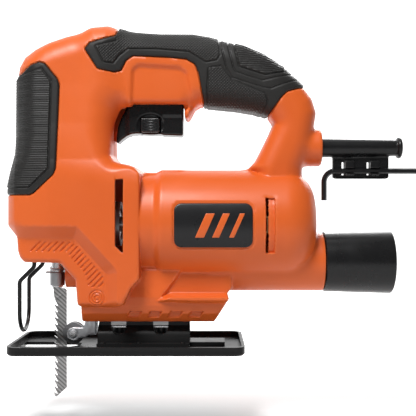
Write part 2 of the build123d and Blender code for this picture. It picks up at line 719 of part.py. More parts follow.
def wire_guard():
    """Bent wire in front of the blade."""
    path = FilletPolyline(
        (-58, -12.9, 59), (-58, -12.9, 52), (-67.1, -12.9, 43), (-67.1, -12.9, 11.2),
        (-67.1, 12.9, 11.2), (-67.1, 12.9, 43), (-58, 12.9, 52), (-58, 12.9, 59),
        radius=[4, 4, 12.5, 12.5, 4, 4],
    )
    return sweep(Plane(origin=path @ 0, z_dir=path % 0) * Circle(1.3), path=path)


# ---- all nodes ------------------------------------------------------------------------------------
def nodes():
    """Every piece by node name."""
    left, right = casing()
    made = {"left_shell": left, "right_shell": right}
    made.update(grip_pads())
    made["badge_left"] = badge(-1)
    made["badge_right"] = badge(1)
    made["upper_bush"] = bush((129, 138))
    made["lower_bush"] = bush((60, 70))
    made["front_bearing"] = bearing(11.0, 5.0 + RUN, (-13, -6))
    made["rear_bearing"] = bearing(9.5, 3.5 + RUN, (94, 101))
    for maker in (
        casing_screws, bevel_pad, clamp_plate, bevel_screws, shoe_bracket, bracket_rivets, shoe,
        roller_fork, guide_roller, roller_pin, gear_case, plunger, blade, clamp_collar, clamp_spring, drive_gear,
        crank_pin, crank_roller, gear_pin, armature_shaft, armature_core, armature_windings,
        commutator, fan, fan_shroud, stator_core, field_coils, brush_holders, brushes,
        brush_springs, switch_body, capacitor, trigger, trigger_spring, lock_button, lock_spring,
        cord_guard, cord_clamp, cord_clamp_screws, hex_key, dust_duct, dust_adapter, wire_guard,
    ):
        made[maker.__name__] = maker()
    return made


os.makedirs("parts", exist_ok=True)
for node, shape in nodes().items():
    export_step(shape, f"parts/{node}.step")
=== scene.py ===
import json
import math

import bmesh
import bpy
import numpy as np
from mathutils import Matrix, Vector


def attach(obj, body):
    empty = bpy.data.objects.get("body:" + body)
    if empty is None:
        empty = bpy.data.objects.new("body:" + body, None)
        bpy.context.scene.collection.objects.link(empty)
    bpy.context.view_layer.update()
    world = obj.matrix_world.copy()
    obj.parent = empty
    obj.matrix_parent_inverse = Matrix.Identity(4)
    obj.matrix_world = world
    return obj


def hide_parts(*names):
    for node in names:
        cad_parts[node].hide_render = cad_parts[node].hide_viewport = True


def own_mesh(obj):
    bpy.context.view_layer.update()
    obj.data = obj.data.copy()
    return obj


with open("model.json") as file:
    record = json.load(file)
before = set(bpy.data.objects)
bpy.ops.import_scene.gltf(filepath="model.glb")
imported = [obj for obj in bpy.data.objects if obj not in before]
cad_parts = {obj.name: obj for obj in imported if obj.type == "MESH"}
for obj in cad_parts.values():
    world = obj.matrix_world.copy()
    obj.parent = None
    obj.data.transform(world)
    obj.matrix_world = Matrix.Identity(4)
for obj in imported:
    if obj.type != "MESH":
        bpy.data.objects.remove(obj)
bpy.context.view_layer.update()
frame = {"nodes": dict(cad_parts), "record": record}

# Shapes are worked out in millimetres in the CAD frame: X to the rear, Y to the right, Z up.
MM = 0.001
WALL = 3.6              # casing wall
SEAM = 0.07             # half the gap between the casing halves
MOTOR_Z = 78.5          # barrel axis
BARREL_R = 34.0
CORD_Z = 126.5          # cord entry axis
DUCT_Z = 54.5           # hose connection axis
DUCT_R = 18.4
MOUTH_Z = 46.0          # axis of the dust mouth behind the blade
PLUNGER_X = -46.1       # plunger and clamp collar axis
ROLLER = (-35.4, 9.3)   # guide roller axis, X and Z
WIRE = (-58.0, 12.9)    # feet of the wire guard, X and Y to each side
BADGE = (52.7, 78.0)    # middle of the plaque, X and Z
BADGE_HALF = (18.9, 8.7)  # half its sides, without the rounded corners
BADGE_CORNER = 4.5
BADGE_BED = 5.5         # corner radius of the plaque's bed in the casing
RINGS = (-17.7, 34.0)   # middle of the ring mark, X and Z
BUTTON = (13.5, 140.0)  # middle of the lock button, X and Z
PLATE_X = 146.2         # middle of the key plate
KEY = (-3.4, 111.7)     # axis of the stored key, Y and Z
SCREW_BOSS = 4.0
SCREW_BORE = 1.7
SCREW_RECESS = 3.6


# ---------------------------------------------------------------- outlines and distance fields
def rounded(points, radius, steps=5):
    """Polygon with each corner turned into a curve, close to an arc of the given radius."""
    result = []
    count = len(points)
    for index in range(count):
        here = np.array(points[index], float)
        before = np.array(points[index - 1], float) - here
        after = np.array(points[(index + 1) % count], float) - here
        len_a, len_b = np.linalg.norm(before), np.linalg.norm(after)
        before, after = before / len_a, after / len_b
        half = math.acos(max(-1.0, min(1.0, float(before @ after)))) / 2
        reach = min(radius / max(math.tan(half), 1e-6), len_a * 0.48, len_b * 0.48)
        start, end = here + before * reach, here + after * reach
        for step in range(steps + 1):
            t = step / steps
            result.append(start * (1 - t) ** 2 + here * 2 * t * (1 - t) + end * t ** 2)
    return np.array(result)


def polygon_distance(points, x, z):
    """Signed distance to a polygon, negative inside."""
    best = np.full(np.broadcast(x, z).shape, 1e9, np.float32)
    sign = np.ones_like(best)
    for a, b in zip(points, np.roll(points, -1, axis=0)):
        ex, ez = b - a
        wx, wz = x - a[0], z - a[1]
        t = np.clip((wx * ex + wz * ez) / (ex * ex + ez * ez + 1e-12), 0, 1)
        best = np.minimum(best, (wx - ex * t) ** 2 + (wz - ez * t) ** 2)
        above, below = z >= a[1], z < b[1]
        left = ex * wz > ez * wx
        flip = (above & below & left) | (~above & ~below & ~left)
        sign = np.where(flip, -sign, sign)
    return sign * np.sqrt(best)


class Outline:
    """Side outline in X and Z, kept as a fine map of signed distances."""
    STEP = 0.5
    MARGIN = 12

    def __init__(self, points, radius=0.0):
        shape = rounded(points, radius) if radius else np.array(points, float)
        self.low = shape.min(axis=0) - self.MARGIN
        high = shape.max(axis=0) + self.MARGIN
        xs = np.arange(self.low[0], high[0], self.STEP)[:, None]
        zs = np.arange(self.low[1], high[1], self.STEP)[None, :]
        self.map = polygon_distance(shape, xs, zs).astype(np.float32)

    def __call__(self, x, z):
        fx = np.clip((x - self.low[0]) / self.STEP, 0, self.map.shape[0] - 1.001)
        fz = np.clip((z - self.low[1]) / self.STEP, 0, self.map.shape[1] - 1.001)
        ix, iz = fx.astype(int), fz.astype(int)
        tx, tz = fx - ix, fz - iz
        near = self.map[ix, iz] * (1 - tx) + self.map[ix + 1, iz] * tx
        far = self.map[ix, iz + 1] * (1 - tx) + self.map[ix + 1, iz + 1] * tx
        return near * (1 - tz) + far * tz


def smooth_min(a, b, k):
    """Union of two fields, with a fillet of about k."""
    h = np.clip(0.5 + 0.5 * (b - a) / k, 0, 1)
    return b * (1 - h) + a * h - k * h * (1 - h)


def smooth_max(a, b, k):
    """What two fields share, with the edge eased by about k."""
    return -smooth_min(-a, -b, k)


def ramp(value, low, high):
    """0 at low, 1 at high, smooth between."""
    t = np.clip((value - low) / (high - low), 0, 1)
    return t * t * (3 - 2 * t)


def off_axis(a, b, center):
    """Distance to a straight axis, from the two coordinates across it."""
    return np.sqrt((a - center[0]) ** 2 + (b - center[1]) ** 2)


def crossing(a, b, radius):
    """What two fields share, with a round edge where their surfaces meet."""
    a, b = a + radius, b + radius
    return np.sqrt(np.maximum(a, 0) ** 2 + np.maximum(b, 0) ** 2) + np.minimum(np.maximum(a, b), 0) - radius


def slab(flat, across, half, radius):
    """Side outline given a thickness in Y, with its edges rounded."""
    return crossing(flat, across - half, radius)


def round_bar(radial, before, after, radius, edge):
    """Bar round an axis, from its distance to the axis and how far a point lies past each end."""
    return crossing(radial - radius, np.maximum(before, after), edge)


def rounded_box(x, z, center, half, corner):
    """Upright rectangle with rounded corners; 'half' leaves out the corner radius."""
    across, up = np.abs(x - center[0]) - half[0], np.abs(z - center[1]) - half[1]
    return np.sqrt(np.maximum(across, 0) ** 2 + np.maximum(up, 0) ** 2) - corner


def box_field(x, y, z, xs, ys, zs, edge=0.0):
    """Box with rounded edges."""
    parts = []
    for value, (low, high) in ((x, xs), (y, ys), (z, zs)):
        parts.append(np.abs(value - (low + high) / 2) - (high - low) / 2 + edge)
    outside = np.sqrt(sum(np.maximum(part, 0) ** 2 for part in parts))
    inside = np.minimum(np.maximum(np.maximum(parts[0], parts[1]), parts[2]), 0)
    return outside + inside - edge


# ---------------------------------------------------------------- meshes from distance fields
def spaced(*stretches):
    """Grid places along one axis from (start, end, step) stretches that follow each other."""
    places = []
    for start, end, step in stretches:
        count = max(1, round((end - start) / step))
        places.extend(start + (end - start) * index / count for index in range(count))
    places.append(stretches[-1][1])
    return np.array(places, np.float32)


def surface_net(field, axes):
    """Closed quad mesh of where the field is negative, its points drawn onto the surface."""
    values = np.empty([len(axis) for axis in axes], np.float32)
    for start in range(0, len(axes[0]), 32):
        part = axes[0][start:start + 32]
        values[start:start + 32] = field(part[:, None, None], axes[1][None, :, None], axes[2][None, None, :])
    inside = values < 0
    total = np.zeros([n - 1 for n in values.shape], np.int8)
    corners = [(i, j, k) for i in (0, 1) for j in (0, 1) for k in (0, 1)]
    for i, j, k in corners:
        total += inside[i:inside.shape[0] - 1 + i, j:inside.shape[1] - 1 + j, k:inside.shape[2] - 1 + k]
    active = (total > 0) & (total < 8)
    cells = np.argwhere(active)
    number = np.full(active.shape, -1, np.int64)
    number[active] = np.arange(len(cells))
    place, crossings = np.zeros((len(cells), 3)), np.zeros(len(cells))
    for a in corners:
        for axis in range(3):
            if a[axis]:
                continue
            b = tuple(a[i] + (i == axis) for i in range(3))
            va = values[cells[:, 0] + a[0], cells[:, 1] + a[1], cells[:, 2] + a[2]]
            vb = values[cells[:, 0] + b[0], cells[:, 1] + b[1], cells[:, 2] + b[2]]
            cross = (va < 0) != (vb < 0)
            t = np.where(cross, va / np.where(cross, va - vb, 1), 0)
            point = np.array(a, float)[None, :] + t[:, None] * np.eye(3)[axis][None, :]
            place += np.where(cross[:, None], point, 0)
            crossings += cross
    share = place / crossings[:, None]
    points = np.stack([
        axes[i][cells[:, i]] * (1 - share[:, i]) + axes[i][cells[:, i] + 1] * share[:, i] for i in range(3)
    ], axis=1)
    faces = []
    for axis in range(3):
        ahead = [slice(None)] * 3
        ahead[axis] = slice(1, None)
        behind = [slice(None)] * 3
        behind[axis] = slice(0, -1)
        first, second = inside[tuple(behind)], inside[tuple(ahead)]
        for want, order in ((True, 1), (False, -1)):
            at = np.argwhere((first == want) & (second == (not want)))
            u, v = (axis + 1) % 3, (axis + 2) % 3
            quad = []
            for du, dv in ((1, 1), (0, 1), (0, 0), (1, 0))[::order]:
                cell = at.copy()
                cell[:, u] -= du
                cell[:, v] -= dv
                quad.append(number[cell[:, 0], cell[:, 1], cell[:, 2]])
            faces.append(np.stack(quad, axis=1))
    return pulled(field, points), np.concatenate(faces)


def pulled(field, points):
    """Points moved onto the surface along the field's slope."""
    start, tiny = points.copy(), 0.02
    for _ in range(3):
        here = field(points[:, 0], points[:, 1], points[:, 2])
        slope = np.stack([
            field(*(points + tiny * np.eye(3)[axis]).T) - here for axis in range(3)
        ], axis=1) / tiny
        size = np.maximum((slope ** 2).sum(axis=1), 0.25)
        points = points - slope * (here / size)[:, None]
        away = points - start
        length = np.linalg.norm(away, axis=1, keepdims=True)
        points = start + away * np.minimum(1, 0.6 / np.maximum(length, 1e-9))
    return points


def make_object(name, points, faces, material):
    """Mesh object from millimetre points."""
    mesh = bpy.data.meshes.new(name)
    mesh.from_pydata((np.asarray(points) * MM).tolist(), [], [list(map(int, face)) for face in faces])
    mesh.polygons.foreach_set("use_smooth", [True] * len(mesh.polygons))
    mesh.set_sharp_from_angle(angle=math.radians(38))
    mesh.materials.append(material)
    made = bpy.data.objects.new(name, mesh)
    bpy.context.scene.collection.objects.link(made)
    return made


def field_object(name, field, low, high, step, material):
    """Object from a field, on an even grid between two corners."""
    axes = [spaced((low[i], high[i], step)) for i in range(3)]
    points, faces = surface_net(field, axes)
    return make_object(name, points, faces, material)


def turned(name, profile, center, material, sides):
    """Body of revolution along X; the closed profile lists (X, radius)."""
    points, faces = [], []
    for row, (x, radius) in enumerate(profile):
        low, high = row * sides, (row + 1) % len(profile) * sides
        for side in range(sides):
            angle = 2 * math.pi * side / sides
            points.append((x, center[0] + radius * math.sin(angle), center[1] + radius * math.cos(angle)))
            following = (side + 1) % sides
            faces.append((low + side, low + following, high + following, high + side))
    return make_object(name, points, faces, material)


def place_piece(piece, body, node):
    """The piece rides on a body and stands for one CAD node."""
    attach(piece, body)
    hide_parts(node)


# ---------------------------------------------------------------- casing
HEAD_OUTLINE = Outline([
    (-70.8, 168), (-69.5, 177), (-66, 183.5), (-59.5, 188), (-49, 192.6), (-39, 196), (-24, 199.6),
    (-12, 200.4), (-4, 196), (-3, 160), (-9.8, 150), (-9.8, 121), (-7.5, 117), (1.3, 114.8), (5, 113.4),
    (8.5, 109), (8.5, 46), (3.5, 40.5), (-1.5, 29.8), (-7, 28.5), (-30, 28.5), (-31.3, 44.5),
    (-41, 54.8), (-63.5, 55), (-66.4, 58), (-67.7, 62), (-68.3, 70.5), (-75.2, 77.4), (-75.2, 101),
    (-73.2, 111), (-70.8, 122),
], 2.6)
BEVEL_LINE = Outline([
    (-90, 77.4), (-29, 77.4), (-6.4, 53.3), (-4.6, 50), (-4.6, 15), (40, 15), (40, 230), (-90, 230),
])
HATCH = Outline([
    (-60.5, 61.5), (-54, 68.4), (-35, 68.4), (-30, 66.5), (-13.3, 47), (-13.3, 40), (-22.8, 40),
    (-25.5, 49), (-37, 61.5),
])
RING_OUTER = Outline([
    (-30, 190), (-24, 199.6), (-13.5, 201), (-6, 199), (4, 197.4), (20, 196.3), (40, 196.2), (50, 194.6),
    (60, 192), (72, 189.4), (85.3, 183.4), (97.8, 175.4), (108.5, 165.6), (114.7, 157), (117.4, 148),
    (115.8, 138), (114, 126), (108.6, 113), (108.6, 106), (112, 98), (100, 84), (0, 84), (-30, 100),
], 5)
OPENING = Outline([
    (-9.8, 121), (-9.8, 134), (-8.5, 141), (-4.5, 149), (-0.5, 150.8), (34.6, 150.8), (34.7, 145.0),
    (35.8, 143.6), (38.0, 143.7), (39.6, 146.4), (41.6, 150.2), (44.8, 152.3), (48, 152.2), (55, 151.4),
    (66, 150.4), (78, 148.4), (87, 145.8), (90.2, 141), (88, 135.6), (83, 125.4), (79, 117.8), (74.5, 113.2),
    (70, 112.4), (20.6, 112.4), (17, 110.8), (8.8, 110.8), (5, 113.4), (0.8, 114.9), (-6.5, 116.4),
], 1.2)
FOOT_OUTLINE = Outline([
    (-28, 18.4), (53.3, 18.4), (62.4, 33.3), (61, 35.9), (64, 39), (64, 60), (-28, 60),
], 1.5)
FOOT_STEP = Outline([(20.5, 34), (22.5, 36.5), (29.6, 45.8), (33, 52), (80, 52), (80, 34)])
LEDGE = Outline([(17, 31.4), (27, 36.6), (70, 36.6), (70, 30.6), (40, 30.6)])
FINGER_PANEL = Outline([(0.5, 148), (1.5, 174), (6, 178), (33, 176.2), (38, 172), (40.5, 160), (42, 148)], 5)
NOSE_PAD = Outline([
    (-90, 96.2), (-58.5, 96.2), (-55.7, 97.3), (-43.2, 108.8), (-41.9, 112.4), (-40.8, 163.6),
    (-41.7, 166.7), (-48.1, 174.6), (-50.2, 176.9), (-53.7, 178), (-59.2, 176.2), (-66, 171.5), (-90, 168),
], 2)
NOSE_PANEL = Outline([
    (-90, 100.5), (-58.8, 100.8), (-46.6, 112), (-46, 166), (-52, 173.5), (-62, 171), (-90, 165),
], 1)
HANDLE_PAD = Outline([
    (-4, 215), (-7.6, 194.4), (-23, 189.6), (-26.2, 185.5), (-18.1, 173.2), (-8, 171.4), (-3.6, 172.6),
    (-0.6, 178.8), (3.5, 181.6), (23.8, 180.8), (36, 179.6), (41.2, 176.6), (43.4, 170.9), (46.6, 154),
    (46.6, 140), (86.6, 140), (87, 145.5), (95.2, 157.1), (98.2, 160), (108.4, 163.2), (114, 166),
    (120, 215),
], 1.5)
PANEL_TOP = Outline([
    (-6, 215), (-6.5, 191), (-19.5, 187), (-14.3, 177.5), (-8.3, 176.9), (-4.6, 182), (0.5, 186),
    (17.8, 185.9), (37.6, 184.2), (47.9, 177.8), (54.8, 179), (56.8, 182), (55.6, 215),
], 1)
PANEL_REAR = Outline([(66, 215), (66, 187), (68.5, 175.2), (84.4, 170), (97, 172.9), (110, 215)], 1)
PANEL_UNDER = Outline([
    (49.6, 174.6), (58, 175.6), (64.3, 167.2), (84.8, 158.6), (86.2, 154), (83, 146), (76, 138), (47.9, 138),
], 2)
GROOVE_A = [(57.3, 200), (57.3, 188.9), (60.8, 174.3), (64.3, 168.3), (84, 162.3), (88.3, 161.9), (104, 168)]
GROOVE_B = [(62.1, 200), (62.1, 187.2), (65.1, 174.3), (66.8, 171.8), (83.1, 166.6), (102, 171.6)]
POCKETS = 4             # slanted pockets along the foot
POCKET_PITCH = 12.5
POCKET_Z = 21.5         # lower edge of the pockets
SCREWS = [              # X, Z and half the length of each screw boss
    (-62.0, 178.0, 18.0), (-20.0, 188.0, 18.0), (50.0, 187.0, 18.0), (99.0, 165.0, 18.0),
    (99.0, 103.0, 22.0), (-62.5, 68.0, 22.0), (49.0, 27.0, 20.0), (3.0, 104.0, 27.0),
]


def line_distance(points, x, z):
    """Distance to an open line."""
    best = np.float32(1e9)
    for a, b in zip(points[:-1], points[1:]):
        ex, ez = b[0] - a[0], b[1] - a[1]
        t = np.clip(((x - a[0]) * ex + (z - a[1]) * ez) / (ex * ex + ez * ez), 0, 1)
        best = np.minimum(best, (x - a[0] - ex * t) ** 2 + (z - a[1] - ez * t) ** 2)
    return np.sqrt(best)


def head_part(x, ay, z):
    """Gear head, nose and front column."""
    drop = np.clip(BEVEL_LINE(x, z) / 7.3, 0, 1)
    wide = np.interp(x, [-78, -68, -45, -10, 8.5], [16.5, 23, 27.5, 30.6, 32.2])
    tall = np.interp(z, [0, 104, 118, 140, 165, 200], [60, 33, 27, 23.5, 21, 18.5])
    half = smooth_min(wide, tall, 4) - 5.6 * drop
    edge = 3.2 + (1 - drop) * (2.8 + 9.5 * ramp(z, 100, 135) + 5 * ramp(-x, 50, 66))
    edge = edge + (1.3 - edge) * ramp(x, -9, 3) * ramp(-z, -117, -109)
    return slab(HEAD_OUTLINE(x, z), ay, half, edge)


def handle_part(x, ay, z):
    """D-handle ring."""
    flat = smooth_max(RING_OUTER(x, z), -OPENING(x, z), 1.5)
    half = 17.6 - 1.4 * ramp(x, 84, 104) + 1.5 * ramp(-x, 0, 24)
    half = half - 7 * ramp(-z, -114.5, -110) * ramp(-x, -88, -74) * ramp(x, 0, 8)
    edge = 12.5 - 7 * ramp(-np.abs(x - 17), -24, -14) * ramp(-z, -164, -154)
    return slab(flat, ay, half, edge)


def barrel_part(x, y, z):
    """Motor barrel with its narrower collar."""
    radius = BARREL_R - 2.3 * (1 - ramp(x, 16, 21.5)) - 0.5 * ramp(x, 96, 116)
    bar = round_bar(off_axis(y, z, (0, MOTOR_Z)), -16 - x, x - 116.3, radius, 19)
    return smooth_max(bar, 7 - x, 0.5)


def foot_part(x, ay, z):
    """Foot with its slanted lower sides."""
    half = np.interp(z, [18, 24, 29, 34, 40, 50, 64], [15.6, 19.6, 20.9, 21.2, 20.3, 19.5, 12])
    half = half + 3.6 * np.clip(-LEDGE(x, z) / 1.9, 0, 1)
    half = half - 2.2 * np.clip(-FOOT_STEP(x, z) / 1.5, 0, 1)
    return slab(FOOT_OUTLINE(x, z), ay, half, 1.3)


def casing_form(x, y, z):
    """Outside of the casing without grips or fine detail."""
    ay = np.abs(y)
    body = smooth_min(head_part(x, ay, z), handle_part(x, ay, z), 7)
    duct = round_bar(off_axis(y, z, (0, DUCT_Z)), 50 - x, x - 122, DUCT_R, 1.0)
    rest = smooth_min(barrel_part(x, y, z), duct, 1.5)
    rest = smooth_min(rest, foot_part(x, ay, z), 1.2)
    body = smooth_min(body, rest, 0.7)
    cord_boss = round_bar(off_axis(y, z, (0, CORD_Z)), 95 - x, x - 121, 11.7, 1.6)
    body = smooth_min(body, cord_boss, 3)
    return smooth_max(body, -OPENING(x, z), 1.2)


def foot_pockets(x, ay, z):
    """Depth of the slanted pockets along the foot, deeper towards the top."""
    slant = x - 0.56 * (z - POCKET_Z)
    place = (slant + 0.6) % POCKET_PITCH - 3.9
    edge = np.maximum(np.abs(place) - 3.8, np.abs(z - POCKET_Z - 2.0) - 2.0)
    in_row = (slant > -1.5) & (slant < POCKETS * POCKET_PITCH - 2)
    sunk = ramp(-edge, -0.1, 0.5) * (1.0 + 0.35 * (z - POCKET_Z))
    return np.where(in_row, sunk, 0) * ramp(ay, 12, 14)


def side_detail(x, ay, z):
    """How far fine detail lies under the form's surface on the sides."""
    pad_beds = 1.5 * ramp(-NOSE_PAD(x, z), -0.5, 0.3) + 1.5 * ramp(-HANDLE_PAD(x, z), -0.5, 0.3)
    lines = np.abs((x - z + 400) / math.sqrt(2) % 2.65 - 1.3)
    hatch = ramp(-HATCH(x, z), 0, 0.6) * ramp(-lines, -0.6, -0.2)
    depth = pad_beds + 0.8 * hatch * ramp(ay, 14, 17)
    depth = depth + 1.8 * ramp(-FINGER_PANEL(x, z), 0, 3.2) * ramp(ay, 8, 11)
    depth = depth + foot_pockets(x, ay, z)
    badge_bed = rounded_box(x, z, BADGE, BADGE_HALF, BADGE_BED)
    depth = depth + 0.7 * ramp(-badge_bed, -0.3, 0.3) * ramp(ay, 20, 24)
    radial = off_axis(x, z, RINGS)
    for radius in (1.4, 3.0, 4.6):
        depth = depth + 0.6 * ramp(-np.abs(radial - radius), -0.5, -0.15) * ramp(ay, 14, 17)
    return depth


def vent(x, z, left, right, low, high, cut):
    """Upright slot with rounded corners, its bottom cut on a slant."""
    box = np.maximum(np.abs(x - (left + right) / 2) - (right - left) / 2 + 0.8,
                     np.abs(z - (low + high) / 2) - (high - low) / 2 + 0.8) - 0.8
    return smooth_max(box, (low + cut - z - (x - left)) / math.sqrt(2), 0.6)


def casing_cuts(side, form, x, y, z):
    """Every hole and slot in one casing half, one field after the other."""
    ay = np.abs(y)
    for screw_x, screw_z, half in SCREWS:
        radial = off_axis(x, z, (screw_x, screw_z))
        yield np.maximum(radial - SCREW_BORE, 5.8 - half - y)
        if side > 0:
            yield np.maximum(radial - SCREW_RECESS, half - 4.2 - y)
    # slot beside the fan, then the rear slot in its shallow pocket
    yield np.maximum(vent(x, z, -6.1, -1.2, 61.6, 105.6, 4), 18 - ay)
    yield np.maximum(vent(x, z, 84.2, 85.4, 61.5, 94.5, 0), 18 - ay)
    yield np.maximum(vent(x, z, 84.2, 89.4, 61.5, 94.5, 0), -form - 2.0)
    # plunger, dust mouth, hose connection and cord
    yield off_axis(x, y, (PLUNGER_X, 0)) - 6.2 + 50 * (z > 62)
    yield np.maximum(off_axis(y, z, (0, MOUTH_Z)) - 8.3, x + 24)
    yield np.maximum(off_axis(y, z, (0, DUCT_Z)) - DUCT_R + 2.0, 100 - x)
    yield np.maximum(off_axis(y, z, (0, CORD_Z)) - 6.4, 108 - x)
    # trigger, metal seat and roller fork
    yield box_field(x, y, z, (-11.5, 34.5), (-9.6, 9.6), (131, 162))
    yield box_field(x, y, z, (-18.2, 37.2), (-8.2, 8.2), (14, 23))
    yield box_field(x, y, z, (-27.7, -20.8), (-5.7, 5.7), (14, 27))
    for wire_y in (-WIRE[1], WIRE[1]):
        yield np.maximum(off_axis(x, y, (WIRE[0], wire_y)) - 1.6, z - 61)


def casing_half(side):
    """Field of one casing half; side is -1 for the left and 1 for the right."""
    def field(x, y, z):
        """Wall, screw bosses and cuts, up to the seam with its small groove."""
        form = casing_form(x, y, z)
        outer = form + side_detail(x, np.abs(y), z)
        bosses = np.float32(1e9)
        for screw in SCREWS:
            bosses = np.minimum(bosses, off_axis(x, z, screw) - SCREW_BOSS)
        cavity = smooth_max(form + WALL, -bosses, 0.8)
        body = smooth_max(outer, -cavity, 0.6)
        for cut in casing_cuts(side, form, x, y, z):
            body = smooth_max(body, -cut, 0.5)
        seam = SEAM - side * y
        body = np.maximum(body, seam)
        return smooth_max(body, (outer + seam) / math.sqrt(2) + 0.3, 0.2)
    return field


def pad_field(side, pad, panels, texture):
    """Field of a rubber pad lying in its bed in the casing."""
    def field(x, y, z):
        """Pad with a fallen edge, a groove round each panel and the panels' texture."""
        ay = np.abs(y)
        form = casing_form(x, y, z)
        flat = pad(x, z)
        raised = 0.15 - 0.75 * ramp(-flat, 0, 1.4)
        for panel, height in panels:
            edge = panel(x, z)
            raised = raised + 0.55 * ramp(-np.abs(edge), -0.75, -0.1) - height * ramp(-edge, 0.3, 1.0)
        raised = raised + texture(x, ay, z)
        body = smooth_max(form + raised, -(form + 1.45), 0.3)
        body = smooth_max(body, flat + 0.3, 0.5)
        return np.maximum(body, SEAM - side * y)
    return field


def nose_texture(x, ay, z):
    """Depth of the ribs across the nose."""
    inner = ramp(-NOSE_PANEL(x, z), 0.8, 1.6)
    return 0.22 * inner * (0.5 + 0.5 * np.cos(z * 2 * math.pi / 1.9))


def handle_texture(x, ay, z):
    """Depth of the knurl, the ribs and the two long grooves on the handle."""
    rough = np.maximum(ramp(-PANEL_TOP(x, z), 0.8, 1.6), ramp(-PANEL_UNDER(x, z), 0.8, 1.6))
    knurl = np.cos((x + z) * 2.1) * np.cos((x - z) * 2.1)
    ribs = ramp(-PANEL_REAR(x, z), 0.8, 1.6) * (0.5 + 0.5 * np.cos((z + 0.35 * x) * 3.3))
    grooves = np.minimum(line_distance(GROOVE_A, x, z), line_distance(GROOVE_B, x, z))
    return 0.2 * rough * (0.5 + 0.5 * knurl) + 0.22 * ribs + 0.6 * ramp(-grooves, -0.8, -0.2)


# ---------------------------------------------------------------- materials
def material(name, color, roughness, metallic=0.0, **extra):
    """Principled material; returns it with its tree and shader node."""
    made = bpy.data.materials.new(name)
    made.use_nodes = True
    tree = made.node_tree
    shader = tree.nodes["Principled BSDF"]
    shader.inputs["Base Color"].default_value = (*color, 1)
    shader.inputs["Roughness"].default_value = roughness
    shader.inputs["Metallic"].default_value = metallic
    for socket, value in extra.items():
        shader.inputs[socket.replace("_", " ")].default_value = value
    return made, tree, shader


def add_node(tree, kind, values=None, **settings):
    """New shader node with its settings and input values."""
    node = tree.nodes.new("ShaderNode" + kind)
    for setting, value in settings.items():
        setattr(node, setting, value)
    for socket, value in (values or {}).items():
        node.inputs[socket].default_value = value
    return node


def in_object_space(tree, texture, values):
    """The texture node, laid in object space through a mapping with these values."""
    mapping = add_node(tree, "Mapping", values)
    tree.links.new(add_node(tree, "TexCoord").outputs["Object"], mapping.inputs["Vector"])
    tree.links.new(mapping.outputs["Vector"], texture.inputs["Vector"])
    return texture


def add_noise(tree, scale, detail=4.0, stretch=(1, 1, 1)):
    """Noise in object space."""
    noise = add_node(tree, "TexNoise", {"Scale": scale, "Detail": detail})
    return in_object_space(tree, noise, {"Scale": stretch})


def vary_color(tree, shader, noise, low, high):
    """Base colour between two colours by a noise."""
    blend = add_node(tree, "ValToRGB")
    for element, position, color in zip(blend.color_ramp.elements, (0.3, 0.7), (low, high)):
        element.position = position
        element.color = (*color, 1)
    tree.links.new(noise.outputs["Fac"], blend.inputs["Fac"])
    tree.links.new(blend.outputs["Color"], shader.inputs["Base Color"])
    return blend


def vary_roughness(tree, shader, noise, low, high):
    """Roughness between two values by a noise."""
    spread = add_node(tree, "MapRange", {"From Min": 0.3, "From Max": 0.7, "To Min": low, "To Max": high})
    tree.links.new(noise.outputs["Fac"], spread.inputs["Value"])
    tree.links.new(spread.outputs["Result"], shader.inputs["Roughness"])


def add_bump(tree, shader, source, strength, distance):
    """Small relief from a node's output."""
    bump = add_node(tree, "Bump", {"Strength": strength, "Distance": distance})
    tree.links.new(source, bump.inputs["Height"])
    tree.links.new(bump.outputs["Normal"], shader.inputs["Normal"])


def paint_edge_highlight(tree, shader, blend, wear):
    """Painted highlight: lighter colour along convex edges."""
    spread = add_node(tree, "MapRange", {"From Min": 0.52, "From Max": 0.6, "To Max": 0.5})
    mix = add_node(tree, "Mix", data_type="RGBA")
    mix.inputs["B"].default_value = (*wear, 1)
    tree.links.new(add_node(tree, "NewGeometry").outputs["Pointiness"], spread.inputs["Value"])
    tree.links.new(spread.outputs["Result"], mix.inputs["Factor"])
    tree.links.new(blend.outputs["Color"], mix.inputs["A"])
    tree.links.new(mix.outputs["Result"], shader.inputs["Base Color"])


def moulded(name, low, high, rough, grain, depth, wear=None, **extra):
    """Moulded plastic or rubber: mottled colour, uneven gloss, fine grain, and a painted highlight along
    convex edges when an edge colour is given.
    """
    made, tree, shader = material(name, low, rough[0], **extra)
    blend = vary_color(tree, shader, add_noise(tree, 14.0, 3.0), low, high)
    vary_roughness(tree, shader, add_noise(tree, 60.0), *rough)
    add_bump(tree, shader, add_noise(tree, grain, 2.0).outputs["Fac"], 0.35, depth)
    # painted highlight: lighter colour along convex edges
    if wear:
        paint_edge_highlight(tree, shader, blend, wear)
    return made


def metal(name, low, high, rough, stretch=(1, 1, 1), grain=900.0, depth=0.00003, metallic=1.0):
    """Metal with its machining grain."""
    made, tree, shader = material(name, low, rough[0], metallic)
    vary_color(tree, shader, add_noise(tree, 60.0, 5.0, stretch), low, high)
    fine = add_noise(tree, grain, 3.0, stretch)
    vary_roughness(tree, shader, fine, *rough)
    add_bump(tree, shader, fine.outputs["Fac"], 0.4, depth)
    return made


def ground_blade():
    """Ground steel with slanted grinding marks."""
    made, tree, shader = material("blade_ground", (0.6, 0.6, 0.61), 0.35, 1.0)
    wave = add_node(tree, "TexWave", {"Scale": 160.0, "Distortion": 0.8, "Detail": 2.0},
                    wave_type="BANDS", bands_direction="X")
    in_object_space(tree, wave, {"Rotation": (0, math.radians(48), 0)})
    blend = add_node(tree, "ValToRGB")
    for element, gray in zip(blend.color_ramp.elements, (0.19, 0.5)):
        element.color = (gray, gray, gray, 1)
    tree.links.new(wave.outputs["Fac"], blend.inputs["Fac"])
    tree.links.new(blend.outputs["Color"], shader.inputs["Base Color"])
    add_bump(tree, shader, wave.outputs["Fac"], 0.5, 0.0001)
    return made


